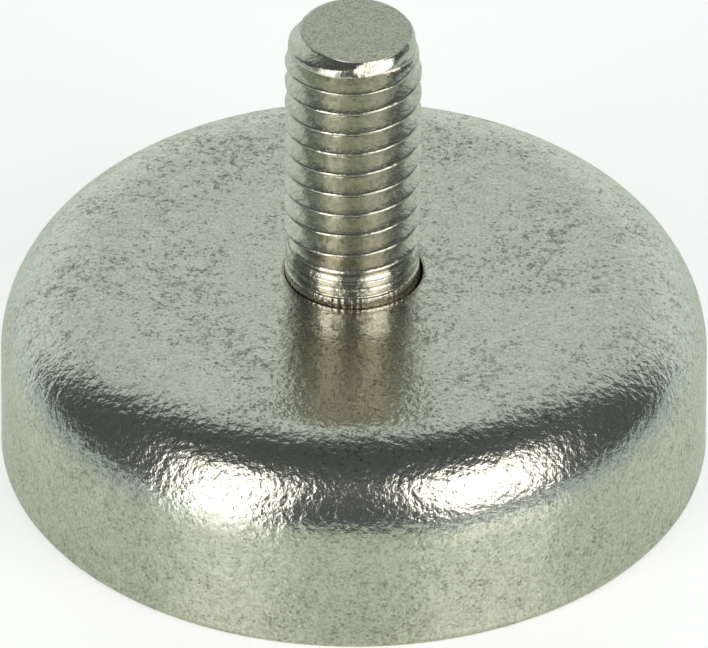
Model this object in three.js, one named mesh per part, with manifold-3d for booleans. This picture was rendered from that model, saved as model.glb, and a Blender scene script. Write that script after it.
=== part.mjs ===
// Stud-type pot magnet: a nickel-plated steel pot with a magnet disc glued inside it, and an M4 threaded
// stud pressed through its closed end. Millimetres, +Z up along the stud, origin at the centre of the pole
// face, which is the open side of the pot and the side it stands on.

import * as THREE from "three";
import { mergeVertices } from "three/addons/utils/BufferGeometryUtils.js";
import Module from "manifold-3d";

// ---- driving dimensions -------------------------------------------------------------------------

const POT_RADIUS = 10;
const POT_HEIGHT = 6;
const SHOULDER_RADIUS = 2.8; // rounding between the top face and the side wall
const RIM_RADIUS = 0.2; // rounding of the outer edge that meets the floor
const WALL = 1.5; // side wall thickness, which is also the width of the outer pole
const FLOOR = 2.4; // thickness of the closed end of the pot
const RIM_CHAMFER = 0.1; // inner edge of the pole face

const THREAD_PITCH = 0.7; // M4 coarse
const THREAD_MAJOR_RADIUS = 1.92;
const THREAD_DEPTH = 0.379; // five eighths of the height of a sharp 60 degree thread
const STUD_REACH = 8.2; // stud above the top face
const THREAD_START = 1.0; // plain part of the stud above the top face
const FRONT_CREST = 1.75; // height above the top face of a crest on the -Y side, from which the helix winds
const TIP_RADIUS = 1.47; // flat end of the stud, inside the 45 degree lead-in

const BORE_RADIUS = 1.98; // hole in the closed end
const BORE_LIP = 0.08; // rolled-over edge of that hole
const KNURL_RADIUS = 1.94;
const KNURL_DEPTH = 0.09;
const KNURL_TEETH = 24;
const KNURL_PROUD = 0.26; // the knurled shank ends this far above the top face
const RING_RADIUS = 1.88; // fine rings where the rolling of the thread ends
const RING_WIDTH = 0.27;
const RING_GROOVE = 0.06; // depth of the grooves between them
const HEAD_RADIUS = 3.0;
const HEAD_HEIGHT = 1.0;
const HEAD_CHAMFER = 0.15;
const HEAD_CLEARANCE = 0.05; // around the head, in its pocket

const MAGNET_RADIUS = 8.0;
const MAGNET_RECESS = 0.1; // the magnet's face sits this far inside the rim
const MAGNET_CHAMFER = 0.15;
const FILM_THICKNESS = 0.1; // adhesive between the magnet and the pot
const POTTING_RECESS = 0.22; // face of the resin around the magnet, above the rim
const POTTING_SAG = 0.05; // the resin's face is hollow by this much

const JOIN = 0.1; // how far the stud's stretches reach into each other where they are joined
const BLANK_MARGIN = 0.04; // the turned blank that trims the thread is this much larger than its crests
const ROUND_SEGMENTS = 72; // shared by every turned piece, so that faces in contact are the same polygons
const THREAD_SEGMENTS = 36;

// ---- heights worked out from them ---------------------------------------------------------------

const CEILING = POT_HEIGHT - FLOOR; // inside of the pot's closed end
const LEDGE = CEILING + HEAD_HEIGHT; // shoulder under which the stud's head bears
const CAVITY_RADIUS = POT_RADIUS - WALL;
const FILM_BOTTOM = CEILING - FILM_THICKNESS;
const STUD_END = POT_HEIGHT + STUD_REACH;
const KNURL_END = POT_HEIGHT + KNURL_PROUD;

// ---- materials ----------------------------------------------------------------------------------

function metal(color, roughness) {
  return new THREE.MeshStandardMaterial({ color, roughness, metalness: 1 });
}

const potPlating = metal("#a8b0a0", 0.3);
const studPlating = metal("#a39f88", 0.25);
const magnetPlating = metal("#b4b7b9", 0.35);
const resin = new THREE.MeshStandardMaterial({ color: "#2b2c2b", roughness: 0.55, metalness: 0 });
const glue = new THREE.MeshStandardMaterial({ color: "#8d8a76", roughness: 0.6, metalness: 0 });

// ---- shape helpers ------------------------------------------------------------------------------

// Points of a circular arc in the (radius, height) plane, both ends included. Angles in degrees from the
// radial direction.
function arc(radius, height, size, from, to, steps) {
  const points = [];
  for (let step = 0; step <= steps; step++) {
    const angle = THREE.MathUtils.degToRad(from + ((to - from) * step) / steps);
    points.push([radius + size * Math.cos(angle), height + size * Math.sin(angle)]);
  }
  return points;
}

// Turns a profile of [radius, height] points about the Z axis. The profile runs up the outside.
function turned(profile) {
  const points = profile.map(([radius, height]) => new THREE.Vector2(radius, height));
  return new THREE.LatheGeometry(points, ROUND_SEGMENTS).rotateX(Math.PI / 2);
}

// A ring's profile closes on itself.
function turnedRing(profile) {
  return turned([...profile, profile[0]]);
}

const solids = await Module();
solids.setup();

function toSolid(geometry) {
  const bare = geometry.clone();
  bare.deleteAttribute("normal");
  bare.deleteAttribute("uv");
  const merged = mergeVertices(bare, 1e-4);
  const corners = merged.index.array;
  const kept = [];
  for (let i = 0; i < corners.length; i += 3) {
    const [a, b, c] = corners.slice(i, i + 3);
    if (a !== b && b !== c && c !== a) kept.push(a, b, c);
  }
  return new solids.Manifold(
    new solids.Mesh({
      numProp: 3,
      vertProperties: new Float32Array(merged.attributes.position.array),
      triVerts: new Uint32Array(kept),
    }),
  );
}

function toGeometry(solid) {
  const mesh = solid.getMesh();
  const geometry = new THREE.BufferGeometry();
  geometry.setAttribute("position", new THREE.BufferAttribute(new Float32Array(mesh.vertProperties), 3));
  geometry.setIndex(new THREE.BufferAttribute(new Uint32Array(mesh.triVerts), 1));
  geometry.computeVertexNormals();
  return geometry;
}

// ---- pot shell: drawn and turned steel cup, open side down, bored and counterbored for the stud -

function potShell() {
  const shoulderCentre = POT_RADIUS - SHOULDER_RADIUS;
  return turnedRing([
    [POT_RADIUS - RIM_RADIUS, 0],
    ...arc(POT_RADIUS - RIM_RADIUS, RIM_RADIUS, RIM_RADIUS, -60, 0, 2),
    ...arc(shoulderCentre, POT_HEIGHT - SHOULDER_RADIUS, SHOULDER_RADIUS, 0, 90, 12),
    ...arc(BORE_RADIUS + BORE_LIP, POT_HEIGHT - BORE_LIP, BORE_LIP, 90, 180, 2),
    [BORE_RADIUS, LEDGE],
    [HEAD_RADIUS + HEAD_CLEARANCE, LEDGE],
    [HEAD_RADIUS + HEAD_CLEARANCE, CEILING],
    [CAVITY_RADIUS, CEILING],
    [CAVITY_RADIUS, RIM_CHAMFER],
    [CAVITY_RADIUS + RIM_CHAMFER, 0],
  ]);
}

// ---- threaded stud: head, knurled shank, run-out rings and rolled thread, in one piece ----------

// Radial section of the thread over one pitch: crest flat, flank, root flat. Each point is
// [fraction of the pitch above the crest's middle, radius].
const THREAD_SECTION = [
  [-1 / 16, THREAD_MAJOR_RADIUS],
  [1 / 16, THREAD_MAJOR_RADIUS],
  [3 / 8, THREAD_MAJOR_RADIUS - THREAD_DEPTH],
  [5 / 8, THREAD_MAJOR_RADIUS - THREAD_DEPTH],
];

// A right-hand thread as a closed solid. Point (column, row) lies at that column's angle, and the rows
// climb one pitch in a full turn, so the last column joins the first one a whole section higher up. A fan
// closes each end, at least a pitch outside the stretch from bottom to top.
function threadedRod(bottom, top) {
  const perPitch = THREAD_SECTION.length;
  const frontCrest = POT_HEIGHT + FRONT_CREST;
  const lowestCrest = frontCrest - THREAD_PITCH * Math.ceil((frontCrest - bottom) / THREAD_PITCH + 1);
  const turns = Math.ceil((top - lowestCrest) / THREAD_PITCH) + 2;
  const rows = turns * perPitch;
  const positions = [];
  for (let column = 0; column < THREAD_SEGMENTS; column++) {
    const turn = column / THREAD_SEGMENTS;
    const angle = 2 * Math.PI * turn - Math.PI / 2;
    for (let row = 0; row < rows; row++) {
      const [rise, radius] = THREAD_SECTION[row % perPitch];
      const height = lowestCrest + THREAD_PITCH * (Math.floor(row / perPitch) + rise + turn);
      positions.push(radius * Math.cos(angle), radius * Math.sin(angle), height);
    }
  }
  const at = (column, row) => column * rows + row;
  const triangles = [];
  for (let column = 0; column < THREAD_SEGMENTS; column++) {
    const last = column === THREAD_SEGMENTS - 1;
    const next = last ? (row) => at(0, row + perPitch) : (row) => at(column + 1, row);
    const rowCount = last ? rows - perPitch : rows;
    for (let row = 0; row < rowCount - 1; row++) {
      triangles.push(at(column, row), next(row), next(row + 1));
      triangles.push(at(column, row), next(row + 1), at(column, row + 1));
    }
  }
  const lowEdge = [];
  const highEdge = [];
  for (let column = 0; column < THREAD_SEGMENTS; column++) {
    lowEdge.push(at(column, 0));
    highEdge.push(at(column, rows - 1));
  }
  for (let row = perPitch; row > 0; row--) lowEdge.push(at(0, row));
  for (let row = rows - 2; row >= rows - 1 - perPitch; row--) highEdge.push(at(THREAD_SEGMENTS - 1, row));
  const lowCentre = positions.length / 3;
  positions.push(0, 0, lowestCrest + THREAD_PITCH / 2);
  const highCentre = lowCentre + 1;
  positions.push(0, 0, lowestCrest + THREAD_PITCH * (turns + 0.5));
  lowEdge.forEach((point, i) => triangles.push(lowCentre, lowEdge[(i + 1) % lowEdge.length], point));
  highEdge.forEach((point, i) => triangles.push(highCentre, point, highEdge[(i + 1) % highEdge.length]));
  const geometry = new THREE.BufferGeometry();
  geometry.setAttribute("position", new THREE.BufferAttribute(new Float32Array(positions), 3));
  geometry.setIndex(triangles);
  return geometry;
}

// Straight serrations that bite into the pot's hole.
function knurledShank() {
  const outline = new THREE.Shape();
  for (let point = 0; point < 2 * KNURL_TEETH; point++) {
    const angle = (Math.PI * point) / KNURL_TEETH;
    const radius = point % 2 === 0 ? KNURL_RADIUS : KNURL_RADIUS - KNURL_DEPTH;
    const [x, y] = [radius * Math.cos(angle), radius * Math.sin(angle)];
    if (point === 0) outline.moveTo(x, y);
    else outline.lineTo(x, y);
  }
  outline.closePath();
  const bottom = LEDGE - JOIN;
  const shank = new THREE.ExtrudeGeometry(outline, { depth: KNURL_END - bottom, bevelEnabled: false });
  return shank.translate(0, 0, bottom);
}

function threadedStud() {
  const threadBottom = POT_HEIGHT + THREAD_START;
  const blankRadius = THREAD_MAJOR_RADIUS + BLANK_MARGIN;
  const blank = turned([
    [0, threadBottom - JOIN],
    [blankRadius, threadBottom - JOIN],
    [blankRadius, STUD_END - (blankRadius - TIP_RADIUS)],
    [TIP_RADIUS, STUD_END],
    [0, STUD_END],
  ]);
  const grooveRadius = RING_RADIUS - RING_GROOVE;
  const ring = (bottom) => [
    [grooveRadius, bottom],
    [RING_RADIUS, bottom + RING_GROOVE],
    [RING_RADIUS, bottom + RING_WIDTH - RING_GROOVE],
  ];
  const lastGroove = KNURL_END + 2 * RING_WIDTH;
  const coneHeight = threadBottom - lastGroove - RING_GROOVE;
  const base = turned([
    [0, CEILING],
    [HEAD_RADIUS - HEAD_CHAMFER, CEILING],
    [HEAD_RADIUS, CEILING + HEAD_CHAMFER],
    [HEAD_RADIUS, LEDGE],
    [grooveRadius, LEDGE],
    ...ring(KNURL_END),
    ...ring(KNURL_END + RING_WIDTH),
    [grooveRadius, lastGroove],
    [RING_RADIUS, lastGroove + RING_GROOVE],
    [RING_RADIUS - coneHeight, threadBottom],
    [0, threadBottom],
  ]);
  const thread = toSolid(threadedRod(threadBottom - JOIN, STUD_END)).intersect(toSolid(blank));
  return toGeometry(thread.add(toSolid(base)).add(toSolid(knurledShank())));
}

// ---- magnet disc: sintered neodymium with small ground chamfers ---------------------------------

function magnetDisc() {
  return turned([
    [0, MAGNET_RECESS],
    [MAGNET_RADIUS - MAGNET_CHAMFER, MAGNET_RECESS],
    [MAGNET_RADIUS, MAGNET_RECESS + MAGNET_CHAMFER],
    [MAGNET_RADIUS, FILM_BOTTOM],
    [0, FILM_BOTTOM],
  ]);
}

// ---- adhesive film: bonds the magnet to the closed end of the pot and covers the stud's head ----

function adhesiveFilm() {
  return turned([
    [0, FILM_BOTTOM],
    [MAGNET_RADIUS, FILM_BOTTOM],
    [MAGNET_RADIUS, CEILING],
    [0, CEILING],
  ]);
}

// ---- potting ring: resin poured into the gap between the magnet and the wall --------------------

function pottingRing() {
  const middle = (MAGNET_RADIUS + CAVITY_RADIUS) / 2;
  return turnedRing([
    [middle, POTTING_RECESS + POTTING_SAG],
    [CAVITY_RADIUS, POTTING_RECESS],
    [CAVITY_RADIUS, CEILING],
    [MAGNET_RADIUS, CEILING],
    [MAGNET_RADIUS, MAGNET_RECESS + MAGNET_CHAMFER],
  ]);
}

// ---- assembly -----------------------------------------------------------------------------------

function piece(name, geometry, material) {
  const mesh = new THREE.Mesh(geometry, material);
  mesh.name = name;
  return mesh;
}

const potMagnet = new THREE.Group();
potMagnet.add(
  piece("pot_shell", potShell(), potPlating),
  piece("threaded_stud", threadedStud(), studPlating),
  piece("magnet_disc", magnetDisc(), magnetPlating),
  piece("adhesive_film", adhesiveFilm(), glue),
  piece("potting_ring", pottingRing(), resin),
);

export default potMagnet;
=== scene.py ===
"""A stud-type pot magnet: its visual model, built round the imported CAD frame. Shapes are worked out in
millimetres and stored in metres. The pot stands on its pole face at z = 0 with its stud pointing up."""

import math

import bpy
import numpy as np
from mathutils import Matrix, Vector


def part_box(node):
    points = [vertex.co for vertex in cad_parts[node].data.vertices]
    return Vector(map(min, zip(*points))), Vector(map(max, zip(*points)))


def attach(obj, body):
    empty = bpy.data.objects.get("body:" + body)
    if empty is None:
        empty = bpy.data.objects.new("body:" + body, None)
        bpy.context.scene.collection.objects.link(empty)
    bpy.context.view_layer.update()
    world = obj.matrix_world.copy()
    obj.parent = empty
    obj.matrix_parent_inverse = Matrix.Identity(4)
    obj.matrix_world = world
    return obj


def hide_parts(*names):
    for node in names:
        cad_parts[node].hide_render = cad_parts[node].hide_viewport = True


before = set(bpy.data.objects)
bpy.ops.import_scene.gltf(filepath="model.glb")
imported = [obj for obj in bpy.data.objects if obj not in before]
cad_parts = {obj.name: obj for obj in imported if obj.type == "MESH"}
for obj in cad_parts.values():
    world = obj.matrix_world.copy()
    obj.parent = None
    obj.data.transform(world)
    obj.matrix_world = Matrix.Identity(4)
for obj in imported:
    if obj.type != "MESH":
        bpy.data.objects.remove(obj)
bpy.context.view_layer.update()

MM = 0.001


# ---- Camera ------------------------------------------------------------------------------------------
# A long lens 0.7 m away, square to the front and 36 degrees above the floor. The pot just fills the width
# of the picture. Lengths are in millimetres, and the clipping distances in metres.

POT_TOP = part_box("pot_shell")[1].z / MM
VIEW_DISTANCE = 700.0
VIEW_ELEVATION = math.radians(35.9)
VIEW_ROLL = math.radians(0.2)
VIEW_WIDTH = 20.0
AIM_BELOW_TOP = 1.588
SENSOR_WIDTH = 36.0
NEAREST = 0.05
FARTHEST = 50.0

right = Vector((1, 0, 0))
up = Vector((0, math.sin(VIEW_ELEVATION), math.cos(VIEW_ELEVATION)))
back = right.cross(up)
aim = Vector((0, 0, POT_TOP)) - up * AIM_BELOW_TOP

camera_data = bpy.data.cameras.new("camera")
camera_data.sensor_width = SENSOR_WIDTH
camera_data.lens = SENSOR_WIDTH * VIEW_DISTANCE / VIEW_WIDTH
camera_data.clip_start = NEAREST
camera_data.clip_end = FARTHEST
camera = bpy.data.objects.new("camera", camera_data)
turn = Matrix((right, up, back)).transposed() @ Matrix.Rotation(VIEW_ROLL, 3, "Z")
camera.matrix_world = Matrix.Translation((aim + back * VIEW_DISTANCE) * MM) @ turn.to_4x4()
bpy.context.scene.collection.objects.link(camera)
bpy.context.scene.camera = camera
bpy.context.scene.view_settings.view_transform = "Standard"


# ---- Studio ------------------------------------------------------------------------------------------
# A white table, a large pale screen behind the magnet, a dim room in front of it, and two tall softboxes
# left and right of the viewer. The polished shoulder shows all of it, so each has its true direction.


def shader(tree, kind, inputs=None, **settings):
    """Adds a node. settings are its own properties. inputs are values or other nodes' outputs, by socket."""
    node = tree.nodes.new(kind)
    for key, value in settings.items():
        setattr(node, key, value)
    for key, value in (inputs or {}).items():
        if isinstance(value, bpy.types.NodeSocket):
            tree.links.new(value, node.inputs[key])
        else:
            node.inputs[key].default_value = value
    return node


def ramp(tree, factor, stops):
    """A colour ramp: stops are (position, (red, green, blue)), in rising order."""
    node = shader(tree, "ShaderNodeValToRGB", {"Fac": factor})
    elements = node.color_ramp.elements
    while len(elements) < len(stops):
        elements.new(0.5)
    for element, (position, colour) in zip(elements, stops):
        element.position = position
        element.color = (*colour, 1)
    return node.outputs["Color"]


def maths(tree, operation, *values):
    """One arithmetic step on one or two values."""
    return shader(tree, "ShaderNodeMath", dict(enumerate(values)), operation=operation).outputs[0]


def step(tree, value, low, high, bottom=0.0, top=1.0):
    """Smooth step of a value: bottom up to low, top from high."""
    made = shader(
        tree,
        "ShaderNodeMapRange",
        {"Value": value, "From Min": low, "From Max": high, "To Min": bottom, "To Max": top},
        interpolation_type="SMOOTHSTEP",
    )
    return made.outputs["Result"]


def weighted(tree, first, first_share, second, second_share):
    """Sum of two values, each times its share."""
    first_part = maths(tree, "MULTIPLY", first, first_share)
    second_part = maths(tree, "MULTIPLY", second, second_share)
    return maths(tree, "ADD", first_part, second_part)


def new_material(name, metallic=0.0):
    """A new material, its node tree and its shader."""
    material = bpy.data.materials.new(name)
    material.use_nodes = True
    surface = material.node_tree.nodes["Principled BSDF"]
    surface.inputs["Metallic"].default_value = metallic
    return material, material.node_tree, surface


SCREEN_HALF_WIDTH = math.radians(64)
SCREEN_TOP = math.radians(70)
SCREEN_EDGE = 0.03
SCREEN_LOW = (0.80, 0.88, 0.84)
SCREEN_HIGH = (0.63, 0.73, 0.68)
SCREEN_LOW_AT = 0.30
SCREEN_HIGH_AT = 0.62
ROOM = (0.085, 0.10, 0.10)
BACKGROUND = (0.93, 0.94, 0.93)

world = bpy.data.worlds.new("studio")
bpy.context.scene.world = world
world.use_nodes = True
sky = world.node_tree
sky.nodes.clear()
direction = shader(sky, "ShaderNodeTexCoord").outputs["Generated"]
axes = shader(sky, "ShaderNodeSeparateXYZ", {"Vector": direction})
sideways = maths(sky, "ABSOLUTE", axes.outputs["X"])
side_depth = weighted(
    sky, axes.outputs["Y"], math.sin(SCREEN_HALF_WIDTH), sideways, -math.cos(SCREEN_HALF_WIDTH)
)
top_depth = weighted(
    sky, axes.outputs["Y"], math.sin(SCREEN_TOP), axes.outputs["Z"], -math.cos(SCREEN_TOP)
)
on_screen = maths(
    sky,
    "MULTIPLY",
    step(sky, side_depth, -SCREEN_EDGE, SCREEN_EDGE),
    step(sky, top_depth, -SCREEN_EDGE, SCREEN_EDGE),
)
screen = ramp(sky, axes.outputs["Z"], [(SCREEN_LOW_AT, SCREEN_LOW), (SCREEN_HIGH_AT, SCREEN_HIGH)])
studio_mix = shader(sky, "ShaderNodeMix", {"Factor": on_screen, 6: (*ROOM, 1), 7: screen}, data_type="RGBA")
seen_directly = shader(sky, "ShaderNodeLightPath").outputs["Is Camera Ray"]
studio_light = shader(sky, "ShaderNodeBackground", {"Color": studio_mix.outputs[2]})
plain = shader(sky, "ShaderNodeBackground", {"Color": (*BACKGROUND, 1)})
looks = {0: seen_directly, 1: studio_light.outputs[0], 2: plain.outputs[0]}
both = shader(sky, "ShaderNodeMixShader", looks)
shader(sky, "ShaderNodeOutputWorld", {"Surface": both.outputs[0]})

SOFTBOX_DISTANCE = 0.30
SOFTBOX_RADIANCE = 2.7
SOFTBOX_COLOUR = (1.0, 0.99, 0.95)
# Each is (degrees to the right of the front, degrees up, width, height), with the last two in metres.
SOFTBOXES = ((-41, 24.5, 0.150, 0.280), (44, 30, 0.200, 0.222))

for azimuth, elevation, width, tall in SOFTBOXES:
    light = bpy.data.lights.new("softbox", "AREA")
    light.shape = "RECTANGLE"
    light.size = width
    light.size_y = tall
    light.energy = math.pi * SOFTBOX_RADIANCE * width * tall
    light.color = SOFTBOX_COLOUR
    softbox = bpy.data.objects.new("softbox", light)
    azimuth = math.radians(azimuth)
    elevation = math.radians(elevation)
    level = math.cos(elevation)
    towards = Vector((math.sin(azimuth) * level, -math.cos(azimuth) * level, math.sin(elevation)))
    facing = towards.to_track_quat("Z", "Y").to_matrix().to_4x4()
    softbox.matrix_world = Matrix.Translation(towards * SOFTBOX_DISTANCE) @ facing
    softbox.visible_camera = False
    bpy.context.scene.collection.objects.link(softbox)

FLOOR_HALF = 6.0
FLOOR_DROP = 0.004 * MM
TABLE_GLOW = (0.17, 0.20, 0.16)
TABLE_GLOW_SIDES = (0.13, 0.20, 0.24)
GLOW_TURNS = (0.010, 0.030)
TABLE_REFLECTED = (0.86, 0.92, 0.83, 1)
TABLE_ROUGHNESS = 0.2
TABLE_IOR = 1.7
TABLE_SEEN = (0.80, 0.80, 0.80, 1)
SEEN_GLOW = 0.66
floor_mesh = bpy.data.meshes.new("floor")
sides = ((-1, -1), (1, -1), (1, 1), (-1, 1))
corners = [(x * FLOOR_HALF, y * FLOOR_HALF, -FLOOR_DROP) for x, y in sides]
floor_mesh.from_pydata(corners, [], [(0, 1, 2, 3)])
floor = bpy.data.objects.new("floor", floor_mesh)
bpy.context.scene.collection.objects.link(floor)

# The camera sees plain paper. The metal reflects a dimmer, glossier table that turns bluer to the sides.
table_white, tree, glossy = new_material("table_white")
glossy.inputs["Base Color"].default_value = TABLE_REFLECTED
glossy.inputs["Roughness"].default_value = TABLE_ROUGHNESS
glossy.inputs["IOR"].default_value = TABLE_IOR
glossy.inputs["Emission Strength"].default_value = 1.0
on_table = shader(tree, "ShaderNodeTexCoord").outputs["Object"]
sideways = shader(tree, "ShaderNodeSeparateXYZ", {"Vector": on_table}).outputs["X"]
sideways = step(tree, maths(tree, "ABSOLUTE", sideways), *GLOW_TURNS)
glow = ramp(tree, sideways, [(0.0, TABLE_GLOW), (1.0, TABLE_GLOW_SIDES)])
tree.links.new(glow, glossy.inputs["Emission Color"])
paper = shader(tree, "ShaderNodeBsdfPrincipled", {"Base Color": TABLE_SEEN, "Roughness": 1.0})
paper.inputs["Specular IOR Level"].default_value = 0.0
paper.inputs["Emission Color"].default_value = TABLE_SEEN
paper.inputs["Emission Strength"].default_value = SEEN_GLOW
seen_directly = shader(tree, "ShaderNodeLightPath").outputs["Is Camera Ray"]
looks = {0: seen_directly, 1: glossy.outputs[0], 2: paper.outputs[0]}
both = shader(tree, "ShaderNodeMixShader", looks)
tree.links.new(both.outputs[0], tree.nodes["Material Output"].inputs["Surface"])
floor_mesh.materials.append(table_white)


# ---- Pot shell ---------------------------------------------------------------------------------------
# A mild steel cup, drawn and turned, with a large rounded shoulder. The closed end is bored for the stud
# and counterbored inside for its head. Tumbled, then nickel plated, so it shines over a fine grain.

POT_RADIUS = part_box("pot_shell")[1].x / MM
CAVITY_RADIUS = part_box("potting_ring")[1].x / MM
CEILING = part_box("adhesive_film")[1].z / MM
HEAD_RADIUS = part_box("threaded_stud")[1].x / MM
HEAD_HEIGHT = 1.0
HEAD_CLEARANCE = 0.05
LEDGE = CEILING + HEAD_HEIGHT
SHOULDER = 2.8
RIM_ROUNDING = 0.2
BORE_RADIUS = 1.94
BORE_LIP = 0.13
POT_COLUMNS = 600
DENTS_START = 2.2


def rounded_outline(corners):
    """Closed outline in the (radius, height) plane. A corner is (radius, height, rounding, spacing): it
    becomes the arc of that rounding which touches both its sides, and it and the stretch after it are cut
    at that spacing."""
    arcs = []
    for number, (radius, height, rounding, spacing) in enumerate(corners):
        here = np.array([radius, height])
        before = np.array(corners[number - 1][:2]) - here
        after = np.array(corners[(number + 1) % len(corners)][:2]) - here
        before = before / np.linalg.norm(before)
        after = after / np.linalg.norm(after)
        half = math.acos(before @ after) / 2
        start = before * rounding / math.tan(half)
        middle = (before + after) / np.linalg.norm(before + after) * rounding / math.sin(half)
        first = math.atan2(*(start - middle)[::-1])
        sweep = (math.pi - 2 * half) * np.sign(before[1] * after[0] - before[0] * after[1])
        angles = first + sweep * np.linspace(0, 1, max(5, math.ceil(abs(sweep) * rounding / spacing)))
        arcs.append(here + middle + rounding * np.stack([np.cos(angles), np.sin(angles)], axis=1))
    pieces = []
    for number, arc in enumerate(arcs):
        start, end = arc[-1], arcs[(number + 1) % len(arcs)][0]
        cuts = max(1, round(np.linalg.norm(end - start) / corners[number][3]))
        share = np.linspace(0, 1, cuts + 1)[1:-1, None]
        pieces += [arc, start + (end - start) * share]
    return np.concatenate(pieces)


def ripple(points, wavelength, seed, waves=48):
    """Smooth random height of about unit spread: the root of 2 over the number of waves, times the sum of
    plane waves of about that length, cos(k . p + phase), in random directions."""
    random = np.random.default_rng(seed)
    directions = random.normal(size=(waves, 3))
    directions /= np.linalg.norm(directions, axis=1, keepdims=True)
    numbers = 2 * np.pi / wavelength * random.uniform(0.7, 1.4, waves)
    phases = random.uniform(0, 2 * np.pi, waves)
    total = np.zeros(points.shape[:-1])
    for unit, number, phase in zip(directions, numbers, phases):
        total += np.cos(points @ unit * number + phase)
    return total * math.sqrt(2 / waves)


def around(columns):
    """Angles of the columns round the axis."""
    return np.arange(columns) * (2 * np.pi / columns)


def skin(name, points, ring):
    """Mesh of a grid of points in millimetres: rows follow the outline, and columns go round the axis and
    join up. A ring's last row joins its first. Otherwise each end row is closed by a fan to its middle."""
    rows, columns, _ = points.shape
    number = np.arange(rows * columns).reshape(rows, columns)
    lower = number if ring else number[:-1]
    upper = np.roll(number, -1, axis=0) if ring else number[1:]
    lower_next, upper_next = np.roll(lower, -1, axis=1), np.roll(upper, -1, axis=1)
    faces = np.stack([lower, lower_next, upper_next, upper], axis=-1).reshape(-1, 4).tolist()
    vertices = points.reshape(-1, 3)
    if not ring:
        ends = np.stack([points[0].mean(axis=0), points[-1].mean(axis=0)])
        first, last = number[0], number[-1]
        bottom, top = rows * columns, rows * columns + 1
        vertices = np.concatenate([vertices, ends])
        faces += np.stack([np.full(columns, bottom), np.roll(first, -1), first], axis=-1).tolist()
        faces += np.stack([np.full(columns, top), last, np.roll(last, -1)], axis=-1).tolist()
    mesh = bpy.data.meshes.new(name)
    mesh.from_pydata((vertices * MM).tolist(), [], faces)
    mesh.polygons.foreach_set("use_smooth", np.ones(len(mesh.polygons), bool))
    mesh.update()
    piece = bpy.data.objects.new(name, mesh)
    bpy.context.scene.collection.objects.link(piece)
    return piece


def turned(outline, columns):
    """Grid of points of an outline turned about the axis: (r cos a, r sin a, h)."""
    radius = outline[:, :1]
    height = outline[:, 1:]
    angle = around(columns)[None, :]
    return np.stack([radius * np.cos(angle), radius * np.sin(angle), height + 0 * angle], axis=-1)


pot_outline = rounded_outline(
    [
        (POT_RADIUS, 0.0, RIM_ROUNDING, 0.12),
        (POT_RADIUS, POT_TOP, SHOULDER, 0.12),
        (BORE_RADIUS, POT_TOP, BORE_LIP, 0.5),
        (BORE_RADIUS, LEDGE, 0.03, 0.5),
        (HEAD_RADIUS + HEAD_CLEARANCE, LEDGE, 0.03, 0.5),
        (HEAD_RADIUS + HEAD_CLEARANCE, CEILING, 0.05, 1.5),
        (CAVITY_RADIUS, CEILING, 0.02, 1.5),
        (CAVITY_RADIUS, 0.0, 0.1, 0.3),
    ]
)
pot_points = turned(pot_outline, POT_COLUMNS)
along = np.roll(pot_outline, -1, axis=0) - np.roll(pot_outline, 1, axis=0)
along /= np.linalg.norm(along, axis=1, keepdims=True)
outward = turned(np.stack([along[:, 1], -along[:, 0]], axis=1), POT_COLUMNS)
# The outer skin is dented, from a little outside the hole, but not the rim, the cavity or the bore.
outside = np.clip((pot_outline[:, 0] - DENTS_START) / 0.6, 0, 1) * (pot_outline[:, 1] > 0.3)
outside *= (pot_outline[:, 0] > CAVITY_RADIUS + 0.3) | (pot_outline[:, 1] > LEDGE + 0.5)
dents = 0.0016 * ripple(pot_points, 1.6, seed=3) + 0.0007 * ripple(pot_points, 0.55, seed=4)
dents -= dents.max()
pot_points += outward * (dents * outside[:, None])[..., None]

pot = skin("pot_shell_nickel", pot_points, ring=True)
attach(pot, "root")
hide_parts("pot_shell")

NICKEL = (0.62, 0.60, 0.53)
NICKEL_BRIGHT = (0.74, 0.72, 0.64)
NICKEL_DULL = (0.46, 0.45, 0.39)
# The darkest stop of the nickel, reached where painted shade darkens the pits.
NICKEL_PAINTED_PIT_SHADE = (0.22, 0.21, 0.18)


def millimetres(tree):
    """Object coordinates in millimetres."""
    place = shader(tree, "ShaderNodeTexCoord").outputs["Object"]
    scaled = shader(tree, "ShaderNodeVectorMath", {0: place, "Scale": 1 / MM}, operation="SCALE")
    return scaled.outputs["Vector"]


def noise(tree, place, per_mm, detail=2.0, roughness=0.5):
    """Smooth noise from 0 to 1 with that many features in a millimetre."""
    made = shader(
        tree,
        "ShaderNodeTexNoise",
        {"Vector": place, "Scale": per_mm, "Detail": detail, "Roughness": roughness},
    )
    return made.outputs["Fac"]


def finish(tree, surface, colour, roughness, height):
    """Links a colour, a roughness and a relief whose height is in millimetres to a shader."""
    bump = shader(tree, "ShaderNodeBump", {"Height": height, "Distance": MM, "Strength": 1.0})
    tree.links.new(colour, surface.inputs["Base Color"])
    tree.links.new(roughness, surface.inputs["Roughness"])
    tree.links.new(bump.outputs["Normal"], surface.inputs["Normal"])


# How far drawing has stretched the skin, so that its orange peel is stronger: from the flat to the wall.
STRETCH_TURNS = (4.5, 8.0, 0.42, 1.0)
PEEL_HEIGHT = 0.027
FINE_HEIGHT = 0.003
PIT_DEPTH = 0.002
# How much painted shade darkens the nickel in a pit: on the closed side, then on the wall.
PAINTED_PIT_SHADE_TURNS = (8.5, 9.8, -0.17, -0.09)

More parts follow.
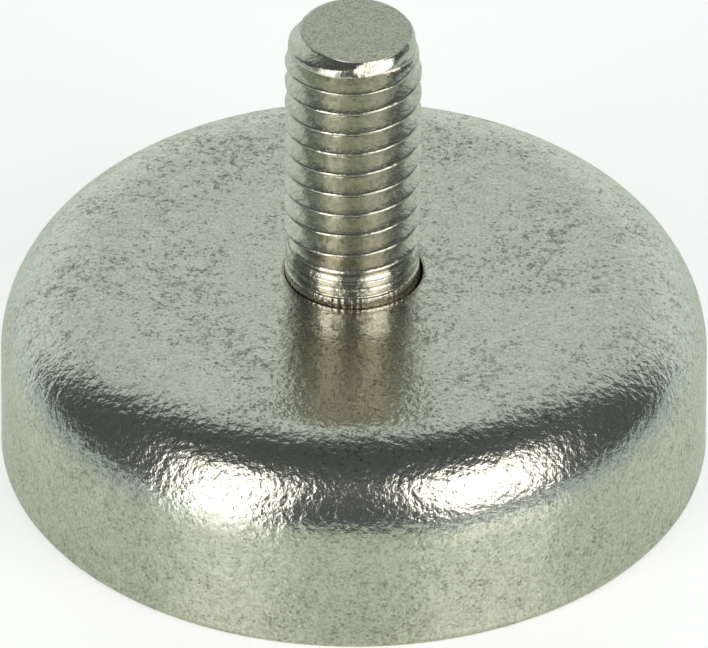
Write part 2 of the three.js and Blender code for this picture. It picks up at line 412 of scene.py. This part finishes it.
pot_nickel, tree, surface = new_material("tumbled_nickel", metallic=1.0)
place = millimetres(tree)
flat = shader(tree, "ShaderNodeVectorMath", {0: place, 1: (1, 1, 0)}, operation="MULTIPLY")
from_axis = shader(tree, "ShaderNodeVectorMath", {0: flat.outputs["Vector"]}, operation="LENGTH")
from_axis = from_axis.outputs["Value"]
stretched = step(tree, from_axis, *STRETCH_TURNS)
peel = noise(tree, place, 5.0)
fine = noise(tree, place, 15.0, detail=1.0)
mottle = noise(tree, place, 11.0, roughness=0.8)
patches = noise(tree, place, 2.2, detail=3.0, roughness=0.6)

# Pits gather in clouds. Small ones are the ragged cores of cells, where flecks let them through.
cloud = noise(tree, place, 0.40, detail=4.0, roughness=0.65)
fleck = noise(tree, place, 3.0, roughness=0.7)
blotch = noise(tree, place, 4.2, detail=2.5, roughness=0.6)
density = step(tree, cloud, 0.36, 0.64, -0.05, 0.10)
chosen = step(tree, maths(tree, "ADD", fleck, density), 0.52, 0.62)
spots = shader(tree, "ShaderNodeTexVoronoi", {"Vector": place, "Scale": 7.0}).outputs["Distance"]
ragged = weighted(tree, spots, 1.0, mottle, 0.9)
small_pits = maths(tree, "MULTIPLY", step(tree, ragged, 0.90, 0.66), chosen)
large_pits = step(tree, maths(tree, "ADD", blotch, density), 0.57, 0.70)
pits = maths(tree, "MAXIMUM", small_pits, large_pits)

shade = weighted(tree, mottle, 0.75, patches, 0.25)
# Pits are dented slightly in the relief, and their colour is darkened with painted shade, standing in for
# the shade inside them.
painted_pit_shade = maths(tree, "MULTIPLY", pits, step(tree, from_axis, *PAINTED_PIT_SHADE_TURNS))
shade = maths(tree, "ADD", shade, painted_pit_shade)
stops = [(0.24, NICKEL_PAINTED_PIT_SHADE), (0.38, NICKEL_DULL), (0.50, NICKEL), (0.64, NICKEL_BRIGHT)]
peeled = weighted(tree, peel, PEEL_HEIGHT, fine, FINE_HEIGHT)
relief = maths(tree, "MULTIPLY", peeled, stretched)
relief = weighted(tree, relief, 1.0, pits, -PIT_DEPTH)
finish(tree, surface, ramp(tree, shade, stops), step(tree, shade, 0.25, 0.55, 0.30, 0.18), relief)
pot.data.materials.append(pot_nickel)


# ---- Threaded stud -----------------------------------------------------------------------------------
# M4 steel stud with a rolled thread, in one piece with the flat head that takes the pull inside the pot.
# The knurled shank is pressed into the bore. Two fine rings and a cone are left where the rolling ended.

STUD_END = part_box("threaded_stud")[1].z / MM
PITCH = 0.7
CREST_RADIUS = 1.93
CREST_ROUNDING = 0.055
ROOT_ROUNDING = 0.04
FLANK = math.radians(59)
BLANK_RADIUS = 1.80
RING_RADIUS = 1.875
RING_WIDTH = 0.265
RINGS_FOOT = POT_TOP + 0.29
FRONT_CREST = POT_TOP + 1.75
THREAD_FADE = (POT_TOP + 0.95, POT_TOP + 1.3)
END_FACE_RADIUS = 1.50
END_FACE_SHIFT = 0.13
END_SHOULDER = 1.85
END_ROUNDING = 0.5
STRUCK_SIDE = math.radians(-70)
WORN_SIDE = math.radians(8)
KNURL_END = POT_TOP + 0.26
KNURLS = 70
STUD_LEAN = 0.004
STUD_OFFSET = -0.07
RING_GROOVE = 0.075
CONE_LENGTH = 0.40
KNURL_FOOT = 0.085
KNURL_DEPTH = 0.035
CREST_PUSH = 0.13
STRUCK_WIDTH = 0.30
STRUCK_SLOPE = 0.85
WORN_WIDTH = 0.95
WORN_SLOPE = 0.21
WORN_LIP = 0.06
WORN_LIP_HEIGHT = 0.14
END_SLOPE = 0.25
END_REACH = 2.2
STUD_COLUMNS = 192
STUD_STEP = 0.02


def soft_step(value, low, high):
    """Smooth step from 0 at low to 1 at high."""
    share = np.clip((value - low) / (high - low), 0, 1)
    return share * share * (3 - 2 * share)


def soft_min(first, second, blend):
    """The smaller of two values, rounded where they cross."""
    return (first + second - np.sqrt((first - second) ** 2 + blend**2)) / 2


def turned_from(angle, side):
    """Angle from that side, between minus and plus half a turn."""
    return (angle - side + np.pi) % (2 * np.pi) - np.pi


def thread_radius(angle, height):
    """Radius of the thread's surface over the distance to the nearest crest along the axis: a circular arc
    at the crest, then the straight flank that touches it, then a circular arc that is level in the middle
    of the groove. The crest climbs one pitch in a full turn, to the right as seen from outside."""
    climb = (angle + np.pi / 2) / (2 * np.pi) * PITCH
    phase = (height - FRONT_CREST - climb) / PITCH
    distance = np.abs(phase - np.round(phase)) * PITCH
    crest_end = CREST_ROUNDING * math.sin(FLANK)
    root_start = PITCH / 2 - ROOT_ROUNDING * math.sin(FLANK)
    crest = CREST_ROUNDING - np.sqrt(CREST_ROUNDING**2 - np.minimum(distance, crest_end) ** 2)
    flank = (np.clip(distance, crest_end, root_start) - crest_end) * math.tan(FLANK)
    inner = np.clip(PITCH / 2 - distance, 0, PITCH / 2 - root_start)
    root = np.sqrt(ROOT_ROUNDING**2 - inner**2) - ROOT_ROUNDING * math.cos(FLANK)
    return CREST_RADIUS - crest - flank - root


def base_radius(height):
    """Radius under the thread: two rounded rings, each falling off with the sixth power of the distance
    from its middle, then a short cone that narrows to the plain blank."""
    across = (height - RINGS_FOOT) / RING_WIDTH
    from_middle = np.abs(2 * (across % 1) - 1)
    rings = RING_RADIUS - RING_GROOVE * from_middle**6
    cone_foot = RING_RADIUS + 0.01
    cone = cone_foot - (cone_foot - BLANK_RADIUS) * np.clip((across - 2) / CONE_LENGTH, 0, 1)
    return np.where(across < 0, RING_RADIUS - RING_GROOVE, np.where(across < 2, rings, cone))


def shaft_radius(angle, height):
    """Radius of the whole shaft. Knurls stand on the shank, and the thread grows out of the blank above the
    rings. The end narrows over a quarter ellipse. At the struck side it is a plain cone instead, and at the
    worn side a slow taper, which the first turn is worn down and filled in to."""
    waver = np.cos(angle * KNURLS + 1.7 * np.sin(angle * 5))
    knurl = (0.5 + 0.5 * waver) * (0.75 + 0.25 * np.sin(angle * 7 + 1))
    knurled = soft_step(height, KNURL_END, KNURL_END - 0.03) * (KNURL_DEPTH * knurl + KNURL_FOOT)
    plain = base_radius(height) + knurled
    below = STUD_END - height
    pushed = height + CREST_PUSH * soft_step(below, 1.0, 0.55)
    radius = plain + soft_step(height, *THREAD_FADE) * (thread_radius(angle, pushed) - plain)
    face = END_FACE_RADIUS + END_FACE_SHIFT * np.cos(angle)
    rounding = np.clip(below / END_ROUNDING, 0, 1)
    ending = face + (END_SHOULDER - face) * np.sqrt(1 - (1 - rounding) ** 2)
    struck = np.exp(-((turned_from(angle, STRUCK_SIDE) / STRUCK_WIDTH) ** 4))
    ending = ending + struck * (np.minimum(face + STRUCK_SLOPE * below, CREST_RADIUS) - ending)
    worn = np.exp(-((turned_from(angle, WORN_SIDE) / WORN_WIDTH) ** 4))
    taper = face + WORN_LIP * np.clip(below / WORN_LIP_HEIGHT, 0, 1) + WORN_SLOPE * below
    ending = ending + END_SLOPE * np.maximum(below - END_ROUNDING, 0)
    ending = ending + worn * (taper - ending)
    filled = worn * soft_step(below, 0.85, 0.45)
    radius = radius + filled * (np.maximum(radius, taper - 0.02) - radius)
    return np.where(below < END_REACH, soft_min(radius, ending, 0.02), radius)


head_outline = np.array([[0.35, CEILING], [HEAD_RADIUS - 0.6, CEILING], [HEAD_RADIUS - 0.15, CEILING]])
turns = np.linspace(-np.pi / 2, 0, 6)
head_edge = np.stack(
    [HEAD_RADIUS - 0.15 + 0.15 * np.cos(turns), CEILING + 0.15 + 0.15 * np.sin(turns)], axis=1
)
ledge_line = np.array(
    [[HEAD_RADIUS, LEDGE - 0.02], [HEAD_RADIUS - 0.02, LEDGE], [2.3, LEDGE], [1.95, LEDGE]]
)
head_points = turned(np.concatenate([head_outline, head_edge[1:], ledge_line]), STUD_COLUMNS)

angle = around(STUD_COLUMNS)[None, :]
shank_heights = np.linspace(LEDGE + 0.02, POT_TOP - 0.15, 6)
shaft_heights = np.arange(POT_TOP - 0.12, STUD_END - STUD_STEP / 2, STUD_STEP)
height = np.concatenate([shank_heights, shaft_heights, [STUD_END - 0.006, STUD_END]])[:, None]
radius = shaft_radius(angle, height)
shaft_points = np.stack([radius * np.cos(angle), radius * np.sin(angle), height + 0 * angle], axis=-1)
scuffs = 0.003 * ripple(shaft_points, 0.5, seed=11) + 0.0015 * ripple(shaft_points, 0.16, seed=12)
scuffs *= soft_step(height, POT_TOP, POT_TOP + 0.3)
shaft_points[..., :2] *= (1 + scuffs / radius)[..., None]

face_share = np.array([0.97, 0.9, 0.75, 0.55, 0.35, 0.15])[:, None, None]
rim = shaft_points[-1][None]
face_points = rim * face_share
face_points[..., 2] = STUD_END
stud_points = np.concatenate([shaft_points, face_points])
stud_points[..., 0] += (STUD_OFFSET + STUD_LEAN * (stud_points[..., 2] - POT_TOP)) * soft_step(
    stud_points[..., 2], POT_TOP - 0.26, POT_TOP + 0.02
)
stud = skin("stud_nickel", np.concatenate([head_points, stud_points]), ring=False)
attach(stud, "root")
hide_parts("threaded_stud")

STUD_BRIGHT = (0.70, 0.675, 0.575)
STUD_NICKEL = (0.60, 0.575, 0.49)
STUD_DULL = (0.40, 0.385, 0.325)

stud_nickel, tree, surface = new_material("rolled_nickel", metallic=1.0)
place = millimetres(tree)
grain = noise(tree, place, 9.0, detail=3.0, roughness=0.6)
mottle = noise(tree, place, 6.0, detail=4.0, roughness=0.8)
height_up = shader(tree, "ShaderNodeSeparateXYZ", {"Vector": place}).outputs["Z"]

# The end face was sheared, so it is rougher and more speckled than the rolled sides.
on_end = step(tree, height_up, STUD_END - 0.02, STUD_END - 0.004)
sheared = noise(tree, place, 19.0, roughness=0.8)
speckle = maths(tree, "MULTIPLY", maths(tree, "SUBTRACT", sheared, 0.48), on_end)
shade = weighted(tree, mottle, 1.0, speckle, 1.8)
stops = [(0.28, STUD_DULL), (0.5, STUD_NICKEL), (0.7, STUD_BRIGHT)]
rough = maths(tree, "ADD", weighted(tree, grain, 0.14, on_end, 0.30), 0.15)
grain_height = maths(tree, "ADD", maths(tree, "MULTIPLY", on_end, 0.05), 0.013)
finish(tree, surface, ramp(tree, shade, stops), rough, maths(tree, "MULTIPLY", grain, grain_height))
stud.data.materials.append(stud_nickel)


# ---- Magnet disc -------------------------------------------------------------------------------------
# Sintered neodymium, ground flat, with small chamfers and a thin satin nickel plating. It sits a tenth of
# a millimetre inside the rim, so that it isn't struck when the pot snaps on to steel.

MAGNET_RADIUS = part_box("magnet_disc")[1].x / MM
MAGNET_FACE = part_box("magnet_disc")[0].z / MM
MAGNET_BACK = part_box("magnet_disc")[1].z / MM
MAGNET_CHAMFER = 0.15
MAGNET_RINGS = 24
MAGNET_COLUMNS = 240

rings = np.linspace(0.4, MAGNET_RADIUS - 0.2, MAGNET_RINGS)
face = np.stack([rings, np.full(MAGNET_RINGS, MAGNET_FACE)], axis=1)
edge_turn = np.linspace(0, np.pi / 2, 7)
edge_radius = MAGNET_RADIUS - MAGNET_CHAMFER + MAGNET_CHAMFER * np.sin(edge_turn)
edge_height = MAGNET_FACE + MAGNET_CHAMFER - MAGNET_CHAMFER * np.cos(edge_turn)
edge = np.stack([edge_radius, edge_height], axis=1)
rear = np.array([[MAGNET_RADIUS, MAGNET_BACK], [MAGNET_RADIUS - 0.01, MAGNET_BACK], [1.0, MAGNET_BACK]])
magnet_points = turned(np.concatenate([face, edge, rear]), MAGNET_COLUMNS)
magnet = skin("magnet_disc_plated", magnet_points, ring=False)
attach(magnet, "root")
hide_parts("magnet_disc")

magnet_nickel, tree, surface = new_material("satin_nickel", metallic=1.0)
grain = noise(tree, millimetres(tree), 5.0, detail=4.0, roughness=0.65)
colour = ramp(tree, grain, [(0.3, (0.50, 0.50, 0.49)), (0.7, (0.62, 0.62, 0.60))])
rough = step(tree, grain, 0.3, 0.7, 0.28, 0.42)
finish(tree, surface, colour, rough, maths(tree, "MULTIPLY", grain, 0.012))
magnet.data.materials.append(magnet_nickel)


# ---- Potting ring ------------------------------------------------------------------------------------
# Black epoxy poured into the gap round the magnet and left hollow by shrinkage. It glues the disc in, and
# keeps it and the steel wall apart.

RING_INNER = MAGNET_RADIUS
RING_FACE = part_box("potting_ring")[0].z / MM
RING_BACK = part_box("potting_ring")[1].z / MM
MENISCUS = 0.06
RING_COLUMNS = 360

across = np.linspace(0, 1, 13)
hollow_radius = RING_INNER + across * (CAVITY_RADIUS - RING_INNER)
hollow_height = RING_FACE + MENISCUS * 4 * across * (1 - across)
hollow = np.stack([hollow_radius, hollow_height], axis=1)
behind = np.array([[CAVITY_RADIUS, RING_BACK], [RING_INNER, RING_BACK]])
ring_points = turned(np.concatenate([hollow, behind]), RING_COLUMNS)
flow = 0.008 * ripple(ring_points, 0.9, seed=21) + 0.003 * ripple(ring_points, 0.3, seed=22)
ring_points[..., 2] += flow * np.concatenate([np.sin(np.pi * across), [0, 0]])[:, None]
ring = skin("potting_resin", ring_points, ring=True)
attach(ring, "root")
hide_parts("potting_ring")

resin, tree, surface = new_material("black_epoxy")
dust = noise(tree, millimetres(tree), 3.0, detail=4.0, roughness=0.7)
stops = [(0.35, (0.010, 0.010, 0.011)), (0.62, (0.018, 0.018, 0.019)), (0.8, (0.05, 0.05, 0.048))]
rough = step(tree, dust, 0.3, 0.75, 0.22, 0.48)
finish(tree, surface, ramp(tree, dust, stops), rough, maths(tree, "MULTIPLY", dust, 0.01))
ring.data.materials.append(resin)


# ---- Adhesive film -----------------------------------------------------------------------------------
# Thin cured glue between the magnet's back and the pot's closed end, over the stud's head. It is sealed in,
# clear and slightly amber, and keeps its plain disc shape.

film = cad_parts["adhesive_film"]
cured_glue, tree, surface = new_material("cured_glue")
place = millimetres(tree)
bubbles = step(tree, noise(tree, place, 2.2), 0.62, 0.70)
streaks = noise(tree, place, 0.4, detail=3.0, roughness=0.6)
stops = [(0.3, (0.50, 0.44, 0.30)), (0.8, (0.72, 0.68, 0.55))]
colour = ramp(tree, weighted(tree, streaks, 1.0, bubbles, 0.3), stops)
rough = step(tree, bubbles, 0.0, 1.0, 0.25, 0.5)
surface.inputs["Coat Weight"].default_value = 0.3
finish(tree, surface, colour, rough, maths(tree, "MULTIPLY", bubbles, 0.01))
film.data.materials.clear()
film.data.materials.append(cured_glue)
